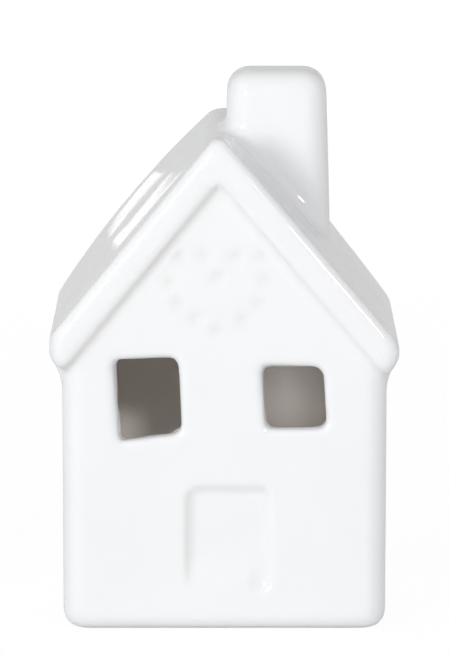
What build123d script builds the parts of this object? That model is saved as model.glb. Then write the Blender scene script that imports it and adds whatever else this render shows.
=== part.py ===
from build123d import *
import math
import os

os.makedirs("parts", exist_ok=True)

# All lengths are in mm. X is the width, the front faces -Y, and the base lies on Z = 0.

# Walls of the house, which is one cast ceramic shell
wall_width = 70.0
wall_depth = 59.0
wall_corner = 4.8  # radius of the upright corners, seen from above
foot_edge = 3.8  # rounding where the walls turn under the base
shell = 4.0  # thickness of the cast wall
roof_shell = 4.6  # the same, under the roof slopes
floor_thickness = 5.2
chamber_corner = 2.5  # radius of the upright corners inside
chamber_ridge = 5.0  # radius inside, under the ridge

# Roof
ridge_height = 109.5  # where both slopes would meet, with no rounding
ridge_shift = -1.3  # the ridge lies a little left of the middle
ridge_round = 6.5
ridge_drift = 2.0  # how far to the right it lies at the back, for the casting is uneven
ridge_climb = 0.5  # and how much higher
camber_left = 2.05  # how far the slope bulges at the back; its front is straight
camber_right = 0.35
eave_reach = 2.6  # how far the eaves stand out past the walls
eave_height_left = 65.2  # where the slope ends at the nose of the eave
eave_height_right = 63.7
eave_face_left = 5.2  # height of the nose
eave_face_right = 4.0
eave_drop_left = 10.8  # from the end of the slope down to where the underside meets the wall
eave_drop_right = 9.6
eave_round_left = 4.6
eave_round_right = 5.6
eave_round_under = 3.2
eave_blend = 8.0  # hollow between the eave and the wall

# Raised border on both gables
verge_reach = 1.5  # how far it stands out past the gable wall
verge_width = 7.2  # square to the slope
verge_round = 2.8  # its outer edge
verge_step_round = 1.2  # its edge towards the gable
verge_peak_round = 3.1  # radius over the peak, in front
verge_inner_round = 1.5  # radius in the inner peak

# Chimney, closed at the top
chimney_height = 119.4
chimney_width = 21.4  # at the top
chimney_depth = 16.6  # at the top
chimney_middle = 11.4  # X of its middle
chimney_corner = 5.0
chimney_top_edge = 4.7
chimney_draft = 1.6  # degrees that each side leans out towards the roof
chimney_blend = 2.2  # hollow where it meets the roof
flue_corner = 1.5

# Windows, cut by hand, with their corners in order from the top left, clockwise
window_round = 2.2
window_rim = 0.7  # rounding of the outer edge
left_window_side = -24.4  # X of its left side
left_window_sill = 41.8  # Z of its lower side
left_window_width = 15.2
left_window_height = 18.5
left_corner_shares = [(0, 0.98), (0.95, 1), (1, 0.09), (0.1, 0)]  # of its width and height
left_round_shares = [0.45, 0.8, 1, 0.3]
right_window_side = 7.6
right_window_sill = 44.4
right_window_width = 14.4
right_window_height = 14.5
right_corner_shares = [(0, 1), (0.94, 0.97), (1, 0.01), (0.07, 0)]
right_round_shares = [0.45, 1, 0.75, 0.65]
# The knife leaned: how far each inside corner lies from the outside one, as shares of the wall
left_lean_shares = [(0.28, -0.08), (0.05, -0.08), (0.05, 0.08), (0.2, 0.05)]
right_lean_shares = [(0.2, -0.32), (0.05, -0.2), (0.02, 0.1), (0.18, 0.12)]

# Recess that marks the door
door_width = 18.4
door_height = 23.6
door_left = -8.2  # X of its left side
door_sill = 8.5  # Z of its lower side
door_round = 2.6
door_recess = 1.1  # depth
door_slope = 35.0  # degrees that its sides lean

# Heart of round dimples in the gable
dimple_width = 2.2
dimple_recess = 0.45
heart_middle = -1.4  # X
heart_tip = 66.2  # Z of its lowest dimple
heart_width = 20.5
heart_height = 16.3
dimple_place_shares = [
    (0, 0.71), (0, 0),
    (-0.16, 1), (0.2, 0.98),
    (-0.4, 0.97), (0.44, 0.97),
    (-0.5, 0.63), (0.5, 0.68),
    (-0.42, 0.36), (0.43, 0.36),
    (-0.23, 0.16), (0.26, 0.14),
]

# Arched opening in the back wall, as high above the table as the floor is thick
arch_width = 43.0
arch_height = 31.0
arch_rim = 1.0

# Tealight, a standard size, standing in the middle of the floor
cup_width = 38.6  # over the rolled rim
cup_foot_width = 37.0
cup_height = 16.0
cup_wall = 0.4
cup_rim = 0.55  # radius of the rolled rim
cup_foot_round = 1.6
cup_ring = 3.2  # width of the ring that the cup stands on
cup_lift = 0.6  # height of the raised middle of its base
wax_gap = 0.15  # all round the wax
wax_height = 12.6  # its top, above the underside of the cup
wax_edge = 0.8
pool_width = 7.0  # hollow round the wick
pool_depth = 0.7
disc_width = 12.0
disc_thickness = 0.3
collar_width = 2.6
collar_height = 3.2
collar_blend = 0.5
wick_width = 1.5
wick_gap = 0.1  # round the wick in its collar, and round both in the wax
wick_rise = 7.5  # above the wax
wick_curl = 9.0  # radius of its bent tip
wick_lean = 32.0  # degrees that the tip turns

overrun = 2.0  # how far a cut passes the face that it opens
touch = 0.001  # two faces that are nearer than this meet
edge_shares = (0.1, 0.5, 0.9)  # where an edge is looked at

half_width = wall_width / 2
half_depth = wall_depth / 2
front = -half_depth - verge_reach
back = half_depth + verge_reach
eave_half = half_width + eave_reach
eaves = {
    -1: (eave_height_left, eave_face_left, eave_drop_left),
    1: (eave_height_right, eave_face_right, eave_drop_right),
}
straight = half_depth - wall_corner  # the walls are straight this far to the front and back


def slope(side):
    """Tangent and cosine of one roof slope. side is -1 for the left and 1 for the right."""
    eave_height = eaves[side][0]
    run = eave_half - side * ridge_shift
    rise = ridge_height - eave_height
    return rise / run, run / math.hypot(rise, run)


def slope_height(x, side, depth):
    """Z of a line that lies depth under the slope, square to it, at this X."""
    tangent, cosine = slope(side)
    return ridge_height - side * (x - ridge_shift) * tangent - depth / cosine


def peak(depth):
    """Where the two lines that lie depth under the slopes meet."""
    left, left_cosine = slope(-1)
    right, right_cosine = slope(1)
    x = ridge_shift + depth * (1 / left_cosine - 1 / right_cosine) / (left + right)
    return x, slope_height(x, 1, depth)


def drawn(points, radii):
    """A face drawn in X and Z, with its corners rounded."""
    return make_face(FilletPolyline(*points, radius=radii, close=True))


def prism(face, near, far):
    """The solid that a face drawn in X and Z sweeps between two depths."""
    return extrude(Plane.XZ.offset(-near) * face, amount=near - far)


def gable(width, depth, foot, ridge_radius):
    """The outline of a room under the roof, depth below the slopes."""
    half = width / 2
    points = [
        (-half, foot),
        (half, foot),
        (half, slope_height(half, 1, depth)),
        peak(depth),
        (-half, slope_height(-half, -1, depth)),
    ]
    return drawn(points, [0, 0, 0, ridge_radius, 0])


def eave(side, foot):
    """The nose of one eave, from its top to the wall, where its underside ends at this height."""
    top, face, drop = eaves[side]
    return [(side * eave_half, top), (side * eave_half, top - face), (side * half_width, foot)]


def bulged(points, sagittas, radii):
    """A face drawn in X and Z, whose sides may bulge and whose corners are rounded."""
    sides = []
    for start, end, sagitta in zip(points, points[1:] + points[:1], sagittas):
        sides.append(SagittaArc(start, end, sagitta) if sagitta else Line(start, end))
    face = make_face(Curve() + sides)
    for corner, radius in zip(points, radii):
        if radius:
            face = fillet(face.vertices().sort_by_distance(corner)[0], radius)
    return face


def ridge_point(share):
    """Where both slopes meet, between the front at 0 and the back at 1."""
    x, z = peak(0)
    return x + share * ridge_drift, z + share * ridge_climb


def roof_border(peak_radius, share):
    """The section of the border from nose to nose, as it is at the front at 0 and the back at 1."""
    left, right = [eave(side, slope_height(side * half_width, side, verge_width)) for side in (-1, 1)]
    points = [ridge_point(share), *right, peak(verge_width), *reversed(left)]
    sagittas = [share * camber_right, 0, 0, 0, 0, 0, 0, share * camber_left]
    radii = [
        peak_radius, eave_round_right, eave_round_under, 0,
        verge_inner_round, 0, eave_round_under, eave_round_left,
    ]
    return bulged(points, sagittas, radii)


def roof_section(share):
    """The section between the borders, filled down to the walls below the eaves."""
    left, right = [eave(side, eaves[side][0] - eaves[side][2]) for side in (-1, 1)]
    foot = min(left[-1][1], right[-1][1]) - eave_blend
    points = [
        ridge_point(share), *right, (half_width, foot),
        (-half_width, foot), *reversed(left),
    ]
    sagittas = [share * camber_right, 0, 0, 0, 0, 0, 0, 0, share * camber_left]
    radii = [
        ridge_round, eave_round_right, eave_round_under, eave_blend,
        0, 0, eave_blend, eave_round_under, eave_round_left,
    ]
    return bulged(points, sagittas, radii)


def spots(edge):
    """Three points along an edge."""
    return [edge @ share for share in edge_shares]


def seam(joined, one, other):
    """The edges of a union along which its two pieces meet."""
    found = []
    for edge in joined.edges():
        if all(max(one.distance_to(spot), other.distance_to(spot)) < touch for spot in spots(edge)):
            found.append(edge)
    return found


def walls():
    plan = RectangleRounded(wall_width, wall_depth, wall_corner)
    block = extrude(plan, amount=ridge_height)
    block = fillet(block.faces().sort_by(Axis.Z)[0].edges(), foot_edge)
    under_roof = gable(wall_width + overrun, roof_shell / 2, -overrun, ridge_round)
    return block & prism(under_roof, front, back)


def on_step(edge):
    """Whether an edge of the border lies on its side towards the gable."""
    spot = edge @ 0.5
    side = -1 if spot.X < ridge_shift else 1
    return abs(spot.X) < half_width and spot.Z < slope_height(spot.X, side, verge_width / 2)


def roof():
    ends = [Plane.XZ.offset(straight) * roof_section(0), Plane.XZ.offset(-straight) * roof_section(1)]
    joined = loft(ends, ruled=True)
    borders = (
        (front, -straight, roof_border(verge_peak_round, 0)),
        (straight, back, roof_border(ridge_round, 1)),
    )
    for near, far, section in borders:
        border = prism(section, near, far)
        outer = border.faces().sort_by(Axis.Y)[0 if near == front else -1]
        steps = outer.edges().filter_by(on_step)
        border = fillet(outer.edges() - steps, verge_round)
        outer = border.faces().sort_by(Axis.Y)[0 if near == front else -1]
        joined += fillet(outer.edges().filter_by(on_step), verge_step_round)
    return joined


def chimney():
    plan = RectangleRounded(chimney_width, chimney_depth, chimney_corner)
    top = Plane((chimney_middle, 0, chimney_height)) * plan
    foot = slope_height(chimney_middle + chimney_width / 2, 1, roof_shell)
    stack = extrude(top, amount=foot - chimney_height, taper=-chimney_draft)
    return fillet(stack.faces().sort_by(Axis.Z)[-1].edges(), chimney_top_edge)


def outside():
    """The whole casting as a solid block, before anything is hollowed or cut."""
    house = walls() + roof()
    stack = chimney()
    joined = house + stack
    return fillet(seam(joined, house, stack), chimney_blend)


def chamber():
    """The hollow inside: the room for the tealight, the roof space and the chimney's flue."""
    room_width, room_depth = wall_width - 2 * shell, wall_depth - 2 * shell
    plan = Plane((0, 0, floor_thickness)) * RectangleRounded(room_width, room_depth, chamber_corner)
    block = extrude(plan, amount=ridge_height)
    under_roof = gable(room_width + overrun, roof_shell, 0, chamber_ridge)
    room = block & prism(under_roof, -half_depth, half_depth)
    flue_plan = RectangleRounded(chimney_width - 2 * shell, chimney_depth - 2 * shell, flue_corner)
    flue_top = Plane((chimney_middle, 0, chimney_height - shell)) * flue_plan
    flue_foot = slope_height(chimney_middle + chimney_width / 2, 1, 2 * roof_shell)
    return room + extrude(flue_top, amount=flue_foot - chimney_height)


def window_corners(side, sill, width, height, corner_shares):
    """The corners of one window in X and Z, at the outside of the wall."""
    return [(side + across * width, sill + up * height) for across, up in corner_shares]


def window(corners, round_shares, lean_shares):
    """The cut of one window, from the outside of the front wall to the inside."""
    inner = [(x + across * shell, z + up * shell) for (x, z), (across, up) in zip(corners, lean_shares)]
    outer_face = Plane.XZ.offset(half_depth) * make_face(Polyline(*corners, close=True))
    inner_face = Plane.XZ.offset(half_depth - shell) * make_face(Polyline(*inner, close=True))
    cut = loft([outer_face, inner_face], ruled=True)
    for (x, z), share in zip(corners, round_shares):
        upright = cut.edges().sort_by_distance((x, -half_depth + shell / 2, z))[0]
        cut = fillet(upright, share * window_round)
    outer_face = cut.faces().sort_by(Axis.Y)[0]
    inner_face = cut.faces().sort_by(Axis.Y)[-1]
    return cut + extrude(outer_face, amount=overrun) + extrude(inner_face, amount=overrun)


def door():
    """The shallow recess in the front wall, with leaning sides."""
    middle = Plane.XZ.offset(half_depth) * Pos(door_left + door_width / 2, door_sill + door_height / 2)
    outline = middle * RectangleRounded(door_width, door_height, door_round)
    return extrude(outline, amount=-door_recess, taper=door_slope) + extrude(outline, amount=overrun)


def dimples():
    """A ball sunk into the gable for each dot of the heart."""
    radius = (dimple_width**2 / 4 + dimple_recess**2) / (2 * dimple_recess)
    centre = -half_depth + dimple_recess - radius
    return [
        Pos(heart_middle + across * heart_width, centre, heart_tip + up * heart_height) * Sphere(radius)
        for across, up in dimple_place_shares
    ]


def arch():
    """The way in for the tealight, through the back wall."""
    half = arch_width / 2
    spring = floor_thickness + arch_height - half
    foot = Polyline((-half, spring), (-half, floor_thickness), (half, floor_thickness), (half, spring))
    top = ThreePointArc((half, spring), (0, spring + half), (-half, spring))
    return prism(make_face(Curve() + [foot, top]), half_depth - shell - overrun, back + overrun)


def rim(body, depth, corners):
    """The edges at one depth in the box of X and Z round these corners, half a wall larger."""
    margin = shell / 2
    across = [x for x, z in corners]
    up = [z for x, z in corners]
    found = []
    for edge in body.edges():
        if all(
            abs(spot.Y - depth) < touch
            and min(across) - margin < spot.X < max(across) + margin
            and min(up) - margin < spot.Z < max(up) + margin
            for spot in spots(edge)
        ):
            found.append(edge)
    return found


def house_body():
    body = outside() - chamber()
    left = window_corners(
        left_window_side, left_window_sill, left_window_width, left_window_height, left_corner_shares
    )
    right = window_corners(
        right_window_side, right_window_sill, right_window_width, right_window_height, right_corner_shares
    )
    for corners, round_shares, lean_shares in (
        (left, left_round_shares, left_lean_shares),
        (right, right_round_shares, right_lean_shares),
    ):
        body -= window(corners, round_shares, lean_shares)
        body = fillet(rim(body, -half_depth, corners), window_rim)
    body -= arch()
    half = arch_width / 2
    doorway = [(-half, floor_thickness), (half, floor_thickness + arch_height)]
    body = fillet(rim(body, half_depth, doorway), arch_rim)
    body -= door()
    body -= dimples()
    return body


def turned(points, radii):
    """The solid that a section drawn in X and Z turns out round the middle of the tealight."""
    return revolve(Plane.XZ * drawn(points, radii), Axis.Z)


def cup_room(inset, top):
    """The inside of the cup up to a height, or the solid outside it with no inset."""
    foot = cup_foot_width / 2
    flare = (cup_width / 2 - cup_rim + cup_wall / 2 - foot) / (cup_height - cup_rim)
    points = [(0, inset), (foot + inset * flare - inset, inset), (foot + top * flare - inset, top), (0, top)]
    return turned(points, [0, cup_foot_round - inset / 2, 0, 0])


def tealight_cup():
    hollow = cup_foot_width / 2 - cup_ring
    body = cup_room(0, cup_height - cup_rim)
    body -= extrude(Circle(hollow), amount=cup_lift)
    inside = cup_room(cup_wall, cup_height + overrun)
    inside -= extrude(Circle(hollow + cup_wall), amount=cup_lift + cup_wall)
    body -= inside
    rolled = Pos(0, 0, cup_height - cup_rim) * Torus(cup_width / 2 - cup_rim, cup_rim)
    return body + rolled


def wick_path():
    """The middle line of the wick, from its collar's foot to its bent tip."""
    foot = cup_lift + cup_wall + disc_thickness
    bend = wax_height + wick_rise - wick_curl * math.radians(wick_lean)
    straight = Line((0, foot), (0, bend))
    bent = JernArc(straight @ 1, (0, 1), wick_curl, wick_lean)
    return Plane.XZ * (Curve() + [straight, bent])


def wick():
    line = wick_path()
    start = Plane((0, 0, cup_lift + cup_wall + disc_thickness))
    return sweep(start * Circle(wick_width / 2), line)


def wick_sustainer():
    base = Pos(0, 0, cup_lift + cup_wall)
    disc = extrude(Circle(disc_width / 2), amount=disc_thickness)
    collar = extrude(Circle(collar_width / 2), amount=collar_height)
    joined = fillet(seam(disc + collar, disc, collar), collar_blend)
    bore = Pos(0, 0, disc_thickness) * extrude(Circle(wick_width / 2 + wick_gap), amount=collar_height)
    return base * (joined - bore)


def tealight_wax():
    inset = cup_wall + wax_gap
    body = cup_room(inset, wax_height)
    body = fillet(body.edges().filter_by(GeomType.CIRCLE).sort_by(Axis.Z)[-1], wax_edge)
    floor = cup_lift + cup_wall
    body -= extrude(Circle(cup_foot_width / 2 - cup_ring + cup_wall + wax_gap), amount=floor)
    for width, height in (
        (disc_width, disc_thickness),
        (collar_width + 2 * collar_blend, disc_thickness + collar_blend),
        (collar_width, collar_height),
        (wick_width, wax_height),
    ):
        body -= Pos(0, 0, floor) * extrude(Circle(width / 2 + wick_gap), amount=height + wick_gap)
    pool_radius = (pool_width**2 / 4 + pool_depth**2) / (2 * pool_depth)
    body -= Pos(0, 0, wax_height - pool_depth + pool_radius) * Sphere(pool_radius)
    return body


pieces = {
    "house_body": house_body(),
    "tealight_cup": Pos(0, 0, floor_thickness) * tealight_cup(),
    "tealight_wax": Pos(0, 0, floor_thickness) * tealight_wax(),
    "wick_sustainer": Pos(0, 0, floor_thickness) * wick_sustainer(),
    "wick": Pos(0, 0, floor_thickness) * wick(),
}
for name, piece in pieces.items():
    export_step(piece, f"parts/{name}.step")
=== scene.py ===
"""Looks of a white glazed tealight house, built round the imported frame. Lengths are in metres."""

import math

import bmesh
import bpy
import numpy as np
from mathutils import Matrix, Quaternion, Vector, noise
from mathutils.bvhtree import BVHTree


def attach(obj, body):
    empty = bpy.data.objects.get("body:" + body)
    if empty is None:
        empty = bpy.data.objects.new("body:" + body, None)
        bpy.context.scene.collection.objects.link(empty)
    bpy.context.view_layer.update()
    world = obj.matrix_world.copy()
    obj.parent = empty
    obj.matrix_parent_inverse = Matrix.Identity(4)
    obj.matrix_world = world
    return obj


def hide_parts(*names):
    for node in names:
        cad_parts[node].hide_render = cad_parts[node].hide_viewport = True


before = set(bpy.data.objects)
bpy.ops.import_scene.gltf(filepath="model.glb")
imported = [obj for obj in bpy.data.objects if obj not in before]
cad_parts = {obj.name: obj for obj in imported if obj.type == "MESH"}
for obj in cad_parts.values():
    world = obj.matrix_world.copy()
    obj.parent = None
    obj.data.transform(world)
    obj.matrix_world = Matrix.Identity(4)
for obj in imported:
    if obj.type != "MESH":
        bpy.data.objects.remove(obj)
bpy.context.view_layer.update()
scene = bpy.context.scene

# Camera, which takes the photograph to be 449 by 655 pixels
photo_height = 655
focal_pixels = 4530  # focal length that fits the house in the photograph
sensor = 36.0  # the long side, in Blender's own millimetres
camera_pitch = math.radians(10)
camera_distance = 1.0
camera_aim = Vector((0, 0, 0.0617))

# The casting, as in its solid
wall_half_width = 0.035
wall_half_depth = 0.0295
wall_thickness = 0.004
front_middle = -wall_half_depth + wall_thickness / 2  # Y of the middle of the front wall
roof_thickness = 0.0046
ridge_x = -0.0013
ridge_z = 0.1095
slope_left = 1.2204  # rise over run
slope_right = 1.1774
border_width = 0.0072  # square to the slope
heart_middle = -0.0014
heart_tip = 0.0662
heart_width = 0.0205
heart_height = 0.0163
dimple_place_shares = [
    (0, 0.71), (0, 0),
    (-0.16, 1), (0.2, 0.98),
    (-0.4, 0.97), (0.44, 0.97),
    (-0.5, 0.63), (0.5, 0.68),
    (-0.42, 0.36), (0.43, 0.36),
    (-0.23, 0.16), (0.26, 0.14),
]
door_left = -0.0082
door_width = 0.0184
door_sill = 0.0085
door_height = 0.0236
door_round = 0.0026

# How the glaze softens the casting
voxel = 0.00075
glaze_rounds = 10  # passes of smoothing
glaze_pull = 0.5  # share of the way to its neighbours' mean that a point goes in each pass
flat_gap = 0.00004  # a smoothed point nearer than this to the casting goes back on to it
soft_gap = 0.00014  # and one farther than this stays
wave_height = 0.00008
wave_length = 0.022
ripple_height = 0.00002
ripple_length = 0.006
wave_start = 0.004  # height over the base at which the waves are full
roof_calm = 0.75  # share of the waves that the roof loses
dimple_depth = 0.00034
dimple_radius = 0.0017
heart_margin = 3 * dimple_radius
heart_cuts = 2  # across each edge of the mesh round the heart
door_fade = 0.009  # height over which the glaze fills the foot of the door's recess
door_line_fade = 0.0054  # height over which the painted shade line at its left edge sets in
door_corner = (0.7, 0.9)  # shares of its width between which the filling ends
seam_place = -0.002  # Y of the faint step that the mould's joint leaves over the roof
seam_width = 0.004
seam_step = 0.0002
level_rounds = 60  # passes that level the glaze on the roof's slopes
slope_match = (0.93, 0.98)  # cosines to the slope between which a point comes to count as on it
slope_reach = 0.6 * roof_thickness  # farthest that such a point lies from the slope
bare_height = (0.0002, 0.0009)  # heights between which the glaze sets in over the base
thin_depth = 0.8 * wall_thickness  # depth in the wall from which the glaze gets thinner

# Where shade is painted grey on the glaze: a line along the border's inner edge, mostly on the left, the
# dimples, and the left edge of the door's recess
shade_line_width = 0.0007  # of the painted shade line along the border's inner edge and the door's left edge
shade_right_share = 0.12  # share of the painted shade grey to the right of the ridge
dimple_shade = 0.3  # share of the painted shade grey in a dimple
door_shade = 0.55  # share of the painted shade grey along the left edge of the door's recess

# Tealight, which stands on the floor inside
room_floor = 0.0052
cup_height = 0.016
cup_foot_radius = 0.0185
cup_rim_radius = 0.01875  # to the middle of the rolled rim
cup_rim = 0.00055
cup_flare = 0.0291  # widening of the wall over its height
cup_wall = 0.0004
cup_foot_round = 0.0016
cup_ring_radius = 0.0153  # inside of the ring that the cup stands on
cup_lift = 0.0006  # of the foot's middle, inside that ring
cup_segments = 432
cup_wall_points = 12
cup_foot_turn = (-90, -10)  # degrees
cup_foot_points = 6
cup_rim_turn = (-60, 240)  # degrees
cup_rim_points = 18
pleats = 54
pleat_depth = 0.0001
pleat_mean = 0.7  # share of their depth that the pleats have on average
pleat_spread = 0.6  # and how far they depart from it
pleat_change = 4  # how fast their depth changes round the cup
wick_foot = 0.0065  # height at which the wick starts
wick_bend = 0.02027  # height at which the wick starts to curl over
wick_curl = 0.009  # radius of its curled tip
wick_lean = math.radians(32)  # how far the tip turns
strands = 3
strand_radius = 0.0004
strand_offset = 0.00034  # from the wick's middle line
strand_pitch = 0.0034  # length of a strand's full turn
strand_steps = 140  # points along a strand
strand_rounds = 3  # how finely a strand's section is rounded

# Colours, and how rough each surface is
glaze_white = (0.87, 0.876, 0.886)
glaze_cloud = (0.856, 0.863, 0.878)
# grey of the painted shade along the border's inner edge, in the dimples and at the door's left edge
painted_shade_grey = (0.75, 0.75, 0.73)
thin_glaze = (0.96, 0.91, 0.87)
clay = (0.80, 0.75, 0.68)
glaze_gloss = (0.05, 0.08)
thin_glaze_roughness = 0.3
clay_roughness = 0.8
foil_grey = (0.80, 0.80, 0.81)
foil_gloss = (0.2, 0.3)
wax_whites = (0.90, 0.88, 0.83), (0.93, 0.915, 0.875)
wax_gloss = (0.34, 0.5)
wax_scatter = 0.002  # how far light goes in the wax
wax_scatter_shares = (1.0, 0.8, 0.6)
steel_grey = (0.62, 0.62, 0.62)
steel_gloss = (0.3, 0.45)
cotton_whites = (0.84, 0.81, 0.73), (0.92, 0.90, 0.84)
cotton_roughness = 0.75

# Heights of the finest relief
glaze_relief = 0.00002
foil_relief = 0.000005
wax_relief = 0.00003
cotton_relief = 0.00005

# Studio
floor_size = 6.0
floor_grey = 0.8  # of the paper that light bounces off
floor_pale = 0.95  # of the paper that the camera sees
floor_lift = 0.9  # share of it that is a plain glow
floor_glow = 1.03  # level of that glow
ambient = 0.34  # level of the world that lights the house
mirrored = 0.68  # level of the world and the floor that the glaze mirrors
background = 1.0  # level of the world that the camera sees
lamp_aim = (0, 0, 0.06)

# Window behind the house, which the glaze mirrors as the strips on the left roof
window_place = (-0.2057, 1.0, 0.0798)
window_aim = (-0.02, 0, 0.09)
window_size = (0.048, 0.0115)
window_watts = 0.0026
window_turn = -0.71  # radians


def linked(name, mesh):
    piece = bpy.data.objects.new(name, mesh)
    scene.collection.objects.link(piece)
    return piece


def mesh_of(piece):
    """A mesh of the piece with its modifiers or its curve's thickness made part of it."""
    return bpy.data.meshes.new_from_object(piece.evaluated_get(bpy.context.evaluated_depsgraph_get()))


def points_of(mesh):
    points = np.empty(len(mesh.vertices) * 3)
    mesh.vertices.foreach_get("co", points)
    return points.reshape(-1, 3)


def normals_of(mesh):
    normals = np.empty(len(mesh.vertices) * 3)
    mesh.vertices.foreach_get("normal", normals)
    return normals.reshape(-1, 3)


def set_points(mesh, points):
    mesh.vertices.foreach_set("co", points.ravel())
    mesh.update()


def smoothstep(values, low, high):
    share = np.clip((values - low) / (high - low), 0, 1)
    return share * share * (3 - 2 * share)


def on_front(points):
    return points[:, 1] < front_middle


def under_slopes(points):
    """How deep each point lies under the nearer roof slope, square to it."""
    x, z = points[:, 0] - ridge_x, points[:, 2]
    left = (ridge_z - z + x * slope_left) / math.hypot(1, slope_left)
    right = (ridge_z - z - x * slope_right) / math.hypot(1, slope_right)
    return np.minimum(left, right)


def under_outside(points):
    """How deep each point lies under the outside of the house."""
    x, y, z = points.T
    slopes = under_slopes(points) * wall_thickness / roof_thickness
    sides = np.minimum(wall_half_width - np.abs(x), wall_half_depth - np.abs(y))
    return np.minimum(np.minimum(slopes, sides), z)


def refine_heart(mesh):
    """Cuts the faces of the gable round the heart into smaller ones."""
    reach = heart_width / 2 + heart_margin
    low_x, high_x = heart_middle - reach, heart_middle + reach
    low_z, high_z = heart_tip - heart_margin, heart_tip + heart_height + heart_margin

    def near_heart(place):
        return low_x < place.x < high_x and low_z < place.z < high_z and place.y < front_middle

    work = bmesh.new()
    work.from_mesh(mesh)
    edges = [edge for edge in work.edges if all(near_heart(end.co) for end in edge.verts)]
    bmesh.ops.subdivide_edges(work, edges=edges, cuts=heart_cuts, use_grid_fill=True)
    work.to_mesh(mesh)
    work.free()


def set_back(points, casting):
    """Lays the smoothed points of flat and gently curved faces back on to the casting."""
    tree = BVHTree.FromObject(casting, bpy.context.evaluated_depsgraph_get())
    nearest = np.array([tree.find_nearest(Vector(point))[0] for point in points])
    gaps = np.linalg.norm(nearest - points, axis=1)
    points += (nearest - points) * (1 - smoothstep(gaps, flat_gap, soft_gap))[:, None]


def dimpled(points):
    """How far each point lies in a dimple of the heart, which is 1 at a dimple's middle."""
    x, z = points[:, 0] - heart_middle, points[:, 2] - heart_tip
    total = np.zeros(len(points))
    for across, up in dimple_place_shares:
        dx, dz = x - across * heart_width, z - up * heart_height
        total += np.exp(-(dx**2 + dz**2) / dimple_radius**2)
    return total * on_front(points)


def press_heart(points):
    """Levels the gable round the heart and presses its dimples in."""
    x, z = points[:, 0] - heart_middle, points[:, 2] - heart_tip - heart_height / 2
    outside = np.maximum(np.abs(x) - heart_width / 2, np.abs(z) - heart_height / 2)
    level = 1 - smoothstep(outside, heart_margin / 2, heart_margin)
    level *= smoothstep(under_slopes(points) - border_width, dimple_radius, 2 * dimple_radius)
    level *= on_front(points)
    points[:, 1] += level * (-wall_half_depth - points[:, 1])
    points[:, 1] += level * dimple_depth * dimpled(points)


def fill_door_foot(points):
    """Lets the glaze run together at the foot of the recess, all but in its right corner."""
    x, z = (points[:, 0] - door_left) / door_width, points[:, 2] - door_sill
    inside = on_front(points) & (x > 0) & (z > -2 * voxel) & (points[:, 1] > -wall_half_depth)
    fill = inside * (1 - smoothstep(z, 0, door_fade)) * (1 - smoothstep(x, *door_corner))
    points[:, 1] += fill * (-wall_half_depth - points[:, 1])


def levelled(mesh, values, weights):
    """Values at the mesh's points, drawn towards their neighbours' mean by these weights."""
    ends = np.empty(len(mesh.edges) * 2, int)
    mesh.edges.foreach_get("vertices", ends)
    one, other = ends.reshape(-1, 2).T
    count = np.bincount(ends, minlength=len(values))
    for _ in range(level_rounds):
        total = np.bincount(one, values[other], len(values)) + np.bincount(other, values[one], len(values))
        values = values + weights * (total / count - values)
    return values


def level_roof(mesh, points):
    """Levels the glaze on both slopes, all but at their edges, and returns how far each point is on one."""
    slope = np.where(points[:, 0] < ridge_x, -slope_left, slope_right)
    out = np.stack([slope, np.zeros(len(slope)), np.ones(len(slope))], 1) / np.hypot(1, slope)[:, None]
    depth = under_slopes(points)
    on_roof = smoothstep((normals_of(mesh) * out).sum(1), *slope_match)
    on_roof *= np.abs(depth) < slope_reach
    points += out * (depth - levelled(mesh, depth, on_roof))[:, None]
    return on_roof


def undulate(points, normals, on_roof):
    """Gives the walls the slow waves of a hand-dipped glaze, the roof less, and the base none."""
    lifted = smoothstep(points[:, 2], 0, wave_start) * (1 - roof_calm * on_roof)
    waves = np.array(
        [
            wave_height * noise.noise(Vector(point) / wave_length)
            + ripple_height * noise.noise(Vector(point) / ripple_length)
            for point in points
        ]
    )
    points += normals * (waves * lifted)[:, None]


def offset_halves(points, normals, on_roof):
    """The mould's two halves don't quite meet, which leaves a faint step across the roof."""
    side = np.tanh((points[:, 1] - seam_place) / seam_width)
    points += normals * (side * on_roof * seam_step / 2)[:, None]


def shade_beside_border(points):
    """How far each point lies on the line of painted shade along the border's inner edge."""
    across = (under_slopes(points) - border_width - shade_line_width / 2) / shade_line_width
    line = np.exp(-(across**2)) * on_front(points)
    return line * np.where(points[:, 0] < ridge_x, 1, shade_right_share)


def shade_beside_door(points):
    """How far each point lies on the line of painted shade along the left edge of the recess."""
    across, z = (points[:, 0] - door_left) / shade_line_width, points[:, 2] - door_sill
    line = np.exp(-(across**2)) * smoothstep(z, 0, door_line_fade)
    return line * (1 - smoothstep(z, door_height - door_round, door_height)) * on_front(points)


def mark_glaze(mesh):
    """Stores where the glaze is thin (inside), missing (at the base), and where shade is painted grey."""
    points = points_of(mesh)
    # painted shade: grey lines and spots where shade falls
    painted_shades = shade_beside_border(points), dimple_shade * dimpled(points), door_shade * shade_beside_door(points)
    marks = {
        "inside": smoothstep(under_outside(points), thin_depth, wall_thickness),
        "base": 1 - smoothstep(points[:, 2], *bare_height),
        "painted_shade": np.maximum.reduce(painted_shades),
    }
    for name, values in marks.items():
        layer = mesh.attributes.new(name, "FLOAT", "POINT")
        layer.data.foreach_set("value", values.astype(np.float32))


def softened(casting):
    """A mesh of the casting with rounded edges, as under a coat of glaze."""
    piece = linked("softened", casting.data.copy())
    remesh = piece.modifiers.new("voxels", "REMESH")
    remesh.mode = "VOXEL"
    remesh.voxel_size = voxel
    soften = piece.modifiers.new("glaze", "SMOOTH")
    soften.factor = glaze_pull
    soften.iterations = glaze_rounds
    mesh = mesh_of(piece)
    bpy.data.objects.remove(piece)
    return mesh


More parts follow.
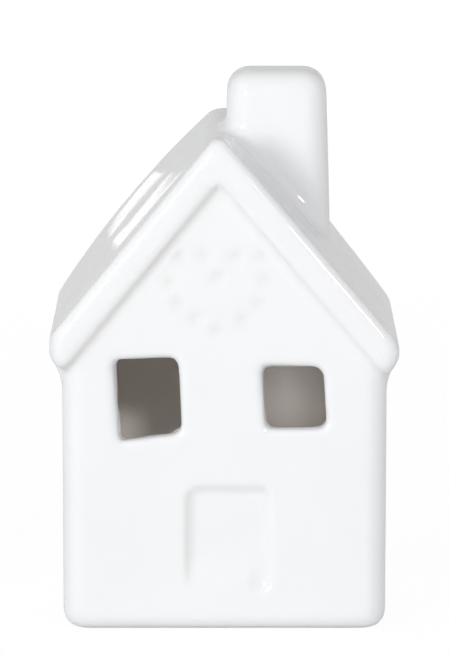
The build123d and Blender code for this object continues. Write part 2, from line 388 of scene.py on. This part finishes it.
def glazed_house():
    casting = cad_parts["house_body"]
    mesh = softened(casting)
    refine_heart(mesh)
    points = points_of(mesh)
    set_back(points, casting)
    press_heart(points)
    fill_door_foot(points)
    set_points(mesh, points)
    on_roof = level_roof(mesh, points)
    set_points(mesh, points)
    normals = normals_of(mesh)
    undulate(points, normals, on_roof)
    offset_halves(points, normals, on_roof)
    set_points(mesh, points)
    mesh.shade_smooth()
    mark_glaze(mesh)
    piece = linked("glazed_house", mesh)
    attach(piece, "house")
    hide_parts("house_body")
    return piece


def spun(name, profile, segments):
    """The closed mesh that a profile of radii and heights, from pole to pole, turns out round Z."""
    turns = np.arange(segments) * 2 * math.pi / segments
    points, rings, faces = [], [], []
    for radius, height in profile:
        start = len(points)
        if radius:
            points += [(radius * math.cos(turn), radius * math.sin(turn), height) for turn in turns]
            rings.append(list(range(start, start + segments)))
        else:
            points.append((0, 0, height))
            rings.append([start] * segments)
    for low, high in zip(rings, rings[1:]):
        for k in range(segments):
            after = (k + 1) % segments
            faces.append(tuple(dict.fromkeys((low[k], low[after], high[after], high[k]))))
    mesh = bpy.data.meshes.new(name)
    mesh.from_pydata(points, [], faces)
    return mesh


def arc(radius, height, size, start, end, steps):
    """Points of an arc round a middle, between two angles in degrees."""
    angles = np.radians(np.linspace(start, end, steps))
    return [(radius + size * math.cos(angle), height + size * math.sin(angle)) for angle in angles]


def cup_profile():
    """The cup's section, from the middle of its foot over the rim to its middle inside."""
    heights = np.linspace(cup_foot_round, cup_height - 2 * cup_rim, cup_wall_points)
    outside = [(cup_foot_radius + cup_flare * height, height) for height in heights]
    inside = [(radius - cup_wall, height) for radius, height in reversed(outside)]
    foot_middle = cup_foot_radius - cup_foot_round
    inner_round = cup_foot_round - cup_wall
    inner_ring = cup_ring_radius + cup_wall
    inner_lift = cup_lift + cup_wall
    return [
        (0, cup_lift), (cup_ring_radius, cup_lift), (cup_ring_radius, 0),
        *arc(foot_middle, cup_foot_round, cup_foot_round, *cup_foot_turn, cup_foot_points),
        *outside,
        *arc(cup_rim_radius, cup_height - cup_rim, cup_rim, *cup_rim_turn, cup_rim_points),
        *inside,
        *arc(foot_middle, cup_foot_round, inner_round, *reversed(cup_foot_turn), cup_foot_points),
        (inner_ring, cup_wall), (inner_ring, inner_lift), (0, inner_lift),
    ]


def pleat_size(turn):
    """How deep the pleats are at this turn round the cup, where 1 is their plain depth."""
    place = pleat_change * math.cos(turn), pleat_change * math.sin(turn), 0
    return pleat_mean + pleat_spread * noise.noise(place)


def pleat(points):
    """Presses the fine upright pleats of a deep-drawn foil cup into its wall."""
    x, y, z = points.T
    radius, turns = np.hypot(x, y), np.arctan2(y, x)
    wall = smoothstep(z, cup_foot_round / 2, 2 * cup_foot_round) * (radius > cup_foot_radius - 2 * cup_wall)
    wall *= 1 - smoothstep(z, cup_height - 6 * cup_rim, cup_height - 3 * cup_rim)
    waves = pleat_depth * wall * np.cos(pleats * turns) * np.array([pleat_size(turn) for turn in turns])
    points[:, :2] *= (1 + waves / np.maximum(radius, cup_wall))[:, None]


def foil_cup():
    mesh = spun("foil_cup", cup_profile(), cup_segments)
    points = points_of(mesh)
    pleat(points)
    points[:, 2] += room_floor
    set_points(mesh, points)
    mesh.shade_smooth()
    piece = linked("foil_cup", mesh)
    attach(piece, "tealight")
    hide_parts("tealight_cup")
    return piece


def wick_point(along, strand):
    """A point of one strand, this far along the wick from its foot."""
    past = max(along - (wick_bend - wick_foot), 0) / wick_curl
    middle = Vector((-wick_curl * (1 - math.cos(past)), 0, min(wick_foot + along, wick_bend)))
    middle.z += wick_curl * math.sin(past)
    across = Vector((math.cos(past), 0, math.sin(past)))
    turn = 2 * math.pi * (along / strand_pitch + strand / strands)
    return middle + strand_offset * (across * math.cos(turn) + Vector((0, math.sin(turn), 0)))


def twisted_wick():
    curve = bpy.data.curves.new("twisted_wick", "CURVE")
    curve.dimensions = "3D"
    curve.bevel_depth = strand_radius
    curve.bevel_resolution = strand_rounds
    curve.use_fill_caps = True
    length = wick_bend - wick_foot + wick_curl * wick_lean
    for strand in range(strands):
        spline = curve.splines.new("POLY")
        spline.points.add(strand_steps - 1)
        for point, along in zip(spline.points, np.linspace(0, length, strand_steps)):
            point.co = (*wick_point(along, strand), 1)
    drawn = linked("wick_strands", curve)
    mesh = mesh_of(drawn)
    bpy.data.objects.remove(drawn)
    mesh.shade_smooth()
    piece = linked("twisted_wick", mesh)
    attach(piece, "tealight")
    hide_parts("wick")
    return piece


# A Mix node's sockets for each kind of value: two inputs and the result
mix_sockets = {"RGBA": (6, 7, 2), "FLOAT": (2, 3, 0)}
noise_middle = (0.3, 0.7)  # range that most of a noise texture's values lie in


class Nodes:
    """The nodes of a material or a world, made and joined by name."""

    def __init__(self, owner):
        owner.use_nodes = True
        self.owner = owner
        self.tree = owner.node_tree
        self.shader = self.tree.nodes.get("Principled BSDF")

    def fill(self, socket, value):
        """Joins an input to another node's output, or gives it a number, a colour or a vector."""
        if isinstance(value, bpy.types.NodeSocket):
            self.tree.links.new(value, socket)
        elif socket.type == "RGBA":
            socket.default_value = (*value, 1)
        else:
            socket.default_value = value

    def fill_all(self, node, values):
        for name, value in values.items():
            self.fill(node.inputs[name.replace("_", " ")], value)

    def add(self, kind, settings=(), **values):
        node = self.tree.nodes.new(kind)
        for key, value in dict(settings).items():
            setattr(node, key, value)
        self.fill_all(node, values)
        return node

    def set(self, **values):
        self.fill_all(self.shader, values)

    def attribute(self, name):
        return self.add("ShaderNodeAttribute", {"attribute_name": name}).outputs["Fac"]

    def grain(self, scale, detail=3.0):
        place = self.add("ShaderNodeTexCoord").outputs["Object"]
        return self.add("ShaderNodeTexNoise", Vector=place, Scale=scale, Detail=detail).outputs["Fac"]

    def spread(self, value, low=0, high=1):
        """Maps a noise value from its middle range to low and high."""
        ends = {"From_Min": noise_middle[0], "From_Max": noise_middle[1], "To_Min": low, "To_Max": high}
        return self.add("ShaderNodeMapRange", Value=value, **ends).outputs["Result"]

    def mix(self, kind, factor, one, other):
        """A colour or a number between two, each of them a value or another node's output."""
        node = self.add("ShaderNodeMix", {"data_type": kind}, Factor=factor)
        first, second, result = mix_sockets[kind]
        self.fill(node.inputs[first], one)
        self.fill(node.inputs[second], other)
        return node.outputs[result]

    def bump(self, height, distance, strength=1.0):
        node = self.add("ShaderNodeBump", Height=height, Strength=strength, Distance=distance)
        self.set(Normal=node.outputs["Normal"])

    def plain(self, kind, level):
        """A shader of one grey."""
        return self.add(kind, Color=(level, level, level)).outputs[0]

    def mix_shaders(self, share, one, other):
        node = self.add("ShaderNodeMixShader")
        for socket, value in zip(node.inputs, (share, one, other)):
            self.fill(socket, value)
        return node.outputs[0]

    def ray_kinds(self):
        """Two outputs: 1 for rays that show the background, and 1 for rays that show it as gloss."""
        path = self.add("ShaderNodeLightPath").outputs
        either = self.add("ShaderNodeMath", {"operation": "MAXIMUM"})
        for socket, name in zip(either.inputs, ("Is Camera Ray", "Is Transmission Ray")):
            self.fill(socket, path[name])
        return either.outputs[0], path["Is Glossy Ray"]


def new_material(name):
    return Nodes(bpy.data.materials.new(name))


def glaze():
    nodes = new_material("white_glaze_gloss")
    inside, base = nodes.attribute("inside"), nodes.attribute("base")
    outer = nodes.mix("RGBA", nodes.spread(nodes.grain(scale=60, detail=2)), glaze_white, glaze_cloud)
    # painted shade: grey where shade falls along the border's inner edge, in the dimples and at the door's
    # left edge
    outer = nodes.mix("RGBA", nodes.attribute("painted_shade"), outer, painted_shade_grey)
    fired = nodes.mix("RGBA", inside, outer, thin_glaze)
    gloss = nodes.spread(nodes.grain(scale=350), *glaze_gloss)
    gloss = nodes.mix("FLOAT", inside, gloss, thin_glaze_roughness)
    nodes.set(
        Base_Color=nodes.mix("RGBA", base, fired, clay),
        Roughness=nodes.mix("FLOAT", base, gloss, clay_roughness),
        IOR=1.5,
    )
    nodes.bump(nodes.grain(scale=900, detail=2), glaze_relief, strength=0.5)
    return nodes.owner


def aluminium():
    nodes = new_material("cup_aluminium_pressed")
    gloss = nodes.spread(nodes.grain(scale=700), *foil_gloss)
    nodes.set(Base_Color=foil_grey, Metallic=1.0, Roughness=gloss)
    nodes.bump(nodes.grain(scale=1200, detail=2), foil_relief)
    return nodes.owner


def wax():
    nodes = new_material("candle_wax_white")
    nodes.set(
        Base_Color=nodes.mix("RGBA", nodes.spread(nodes.grain(scale=300)), *wax_whites),
        Roughness=nodes.spread(nodes.grain(scale=500), *wax_gloss),
        Subsurface_Weight=0.4,
        Subsurface_Scale=wax_scatter,
        Subsurface_Radius=wax_scatter_shares,
    )
    nodes.bump(nodes.grain(scale=800), wax_relief)
    return nodes.owner


def steel():
    nodes = new_material("sustainer_steel_tinned")
    gloss = nodes.spread(nodes.grain(scale=900), *steel_gloss)
    nodes.set(Base_Color=steel_grey, Metallic=1.0, Roughness=gloss)
    return nodes.owner


def cotton():
    nodes = new_material("wick_cotton_waxed")
    nodes.set(
        Base_Color=nodes.mix("RGBA", nodes.spread(nodes.grain(scale=2500)), *cotton_whites),
        Roughness=cotton_roughness,
    )
    nodes.bump(nodes.grain(scale=4000), cotton_relief)
    return nodes.owner


def finish_with(piece, material):
    piece.data.materials.clear()
    piece.data.materials.append(material)


def studio_world():
    nodes = Nodes(bpy.data.worlds.new("studio"))
    scene.world = nodes.owner
    seen, glossy = nodes.ray_kinds()
    unseen = nodes.mix("FLOAT", glossy, ambient, mirrored)
    level = nodes.mix("FLOAT", seen, unseen, background)
    nodes.fill_all(nodes.tree.nodes["Background"], {"Color": (1, 1, 1), "Strength": level})


def floor_paper():
    """Paper that the camera sees nearly white, with the shadow on it, and that is plain grey to the light."""
    nodes = new_material("floor_paper")
    nodes.tree.nodes.remove(nodes.shader)
    seen, glossy = nodes.ray_kinds()
    diffuse, glow = "ShaderNodeBsdfDiffuse", "ShaderNodeEmission"
    lit = nodes.mix_shaders(glossy, nodes.plain(diffuse, floor_grey), nodes.plain(glow, mirrored))
    shown = nodes.mix_shaders(floor_lift, nodes.plain(diffuse, floor_pale), nodes.plain(glow, floor_glow))
    nodes.fill_all(nodes.tree.nodes["Material Output"], {"Surface": nodes.mix_shaders(seen, lit, shown)})
    return nodes.owner


def studio_floor():
    half = floor_size / 2
    corners = [(-half, -half, 0), (half, -half, 0), (half, half, 0), (-half, half, 0)]
    mesh = bpy.data.meshes.new("studio_floor")
    mesh.from_pydata(corners, [], [(0, 1, 2, 3)])
    mesh.materials.append(floor_paper())
    linked("studio_floor", mesh)


def softbox(name, place, size, watts, aim=lamp_aim, turn=0.0, in_gloss=True, on_surfaces=True):
    """A soft rectangular lamp, which the camera doesn't see, but gloss or lit surfaces may."""
    data = bpy.data.lights.new(name, "AREA")
    data.shape = "RECTANGLE"
    data.size, data.size_y = size
    data.energy = watts
    lamp = bpy.data.objects.new(name, data)
    scene.collection.objects.link(lamp)
    lamp.location = place
    facing = (Vector(aim) - Vector(place)).to_track_quat("-Z", "Y")
    lamp.rotation_euler = (facing @ Quaternion((0, 0, 1), turn)).to_euler()
    lamp.visible_camera = False
    lamp.visible_glossy = in_gloss
    lamp.visible_diffuse = on_surfaces


def around(right, up, distance):
    """A place round the house: degrees to the right of its front, and degrees up."""
    across, rise = math.radians(right), math.radians(up)
    flat = distance * math.cos(rise)
    return flat * math.sin(across), -flat * math.cos(across), lamp_aim[2] + distance * math.sin(rise)


def studio_lamps():
    softbox("key_left", around(right=-30, up=10, distance=1.5), size=(0.3, 0.4), watts=6.9)
    softbox("key_right", around(right=36.8, up=16.8, distance=1.5), size=(0.1, 0.1), watts=5.8)
    softbox("side_left", around(right=-62, up=20, distance=1.5), size=(0.8, 1.0), watts=5.8, in_gloss=False)
    softbox("fill_right", around(right=20, up=35, distance=1.6), size=(1.2, 1.0), watts=1.5, in_gloss=False)
    softbox("fill_back", around(right=180, up=6, distance=1.5), size=(1.0, 0.75), watts=17, in_gloss=False)
    softbox(
        "window_behind", window_place, window_size, window_watts, window_aim, window_turn, on_surfaces=False
    )


def camera():
    data = bpy.data.cameras.new("photo_camera")
    data.sensor_width = sensor
    data.lens = sensor * focal_pixels / photo_height
    eye = bpy.data.objects.new("photo_camera", data)
    scene.collection.objects.link(eye)
    back = Vector((0, -math.cos(camera_pitch), math.sin(camera_pitch)))
    eye.location = camera_aim + camera_distance * back
    eye.rotation_euler = (math.pi / 2 - camera_pitch, 0, 0)
    scene.camera = eye


scene.view_settings.view_transform = "Standard"
camera()
for piece, material in (
    (glazed_house(), glaze()),
    (foil_cup(), aluminium()),
    (twisted_wick(), cotton()),
    (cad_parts["tealight_wax"], wax()),
    (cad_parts["wick_sustainer"], steel()),
):
    finish_with(piece, material)
studio_world()
studio_floor()
studio_lamps()
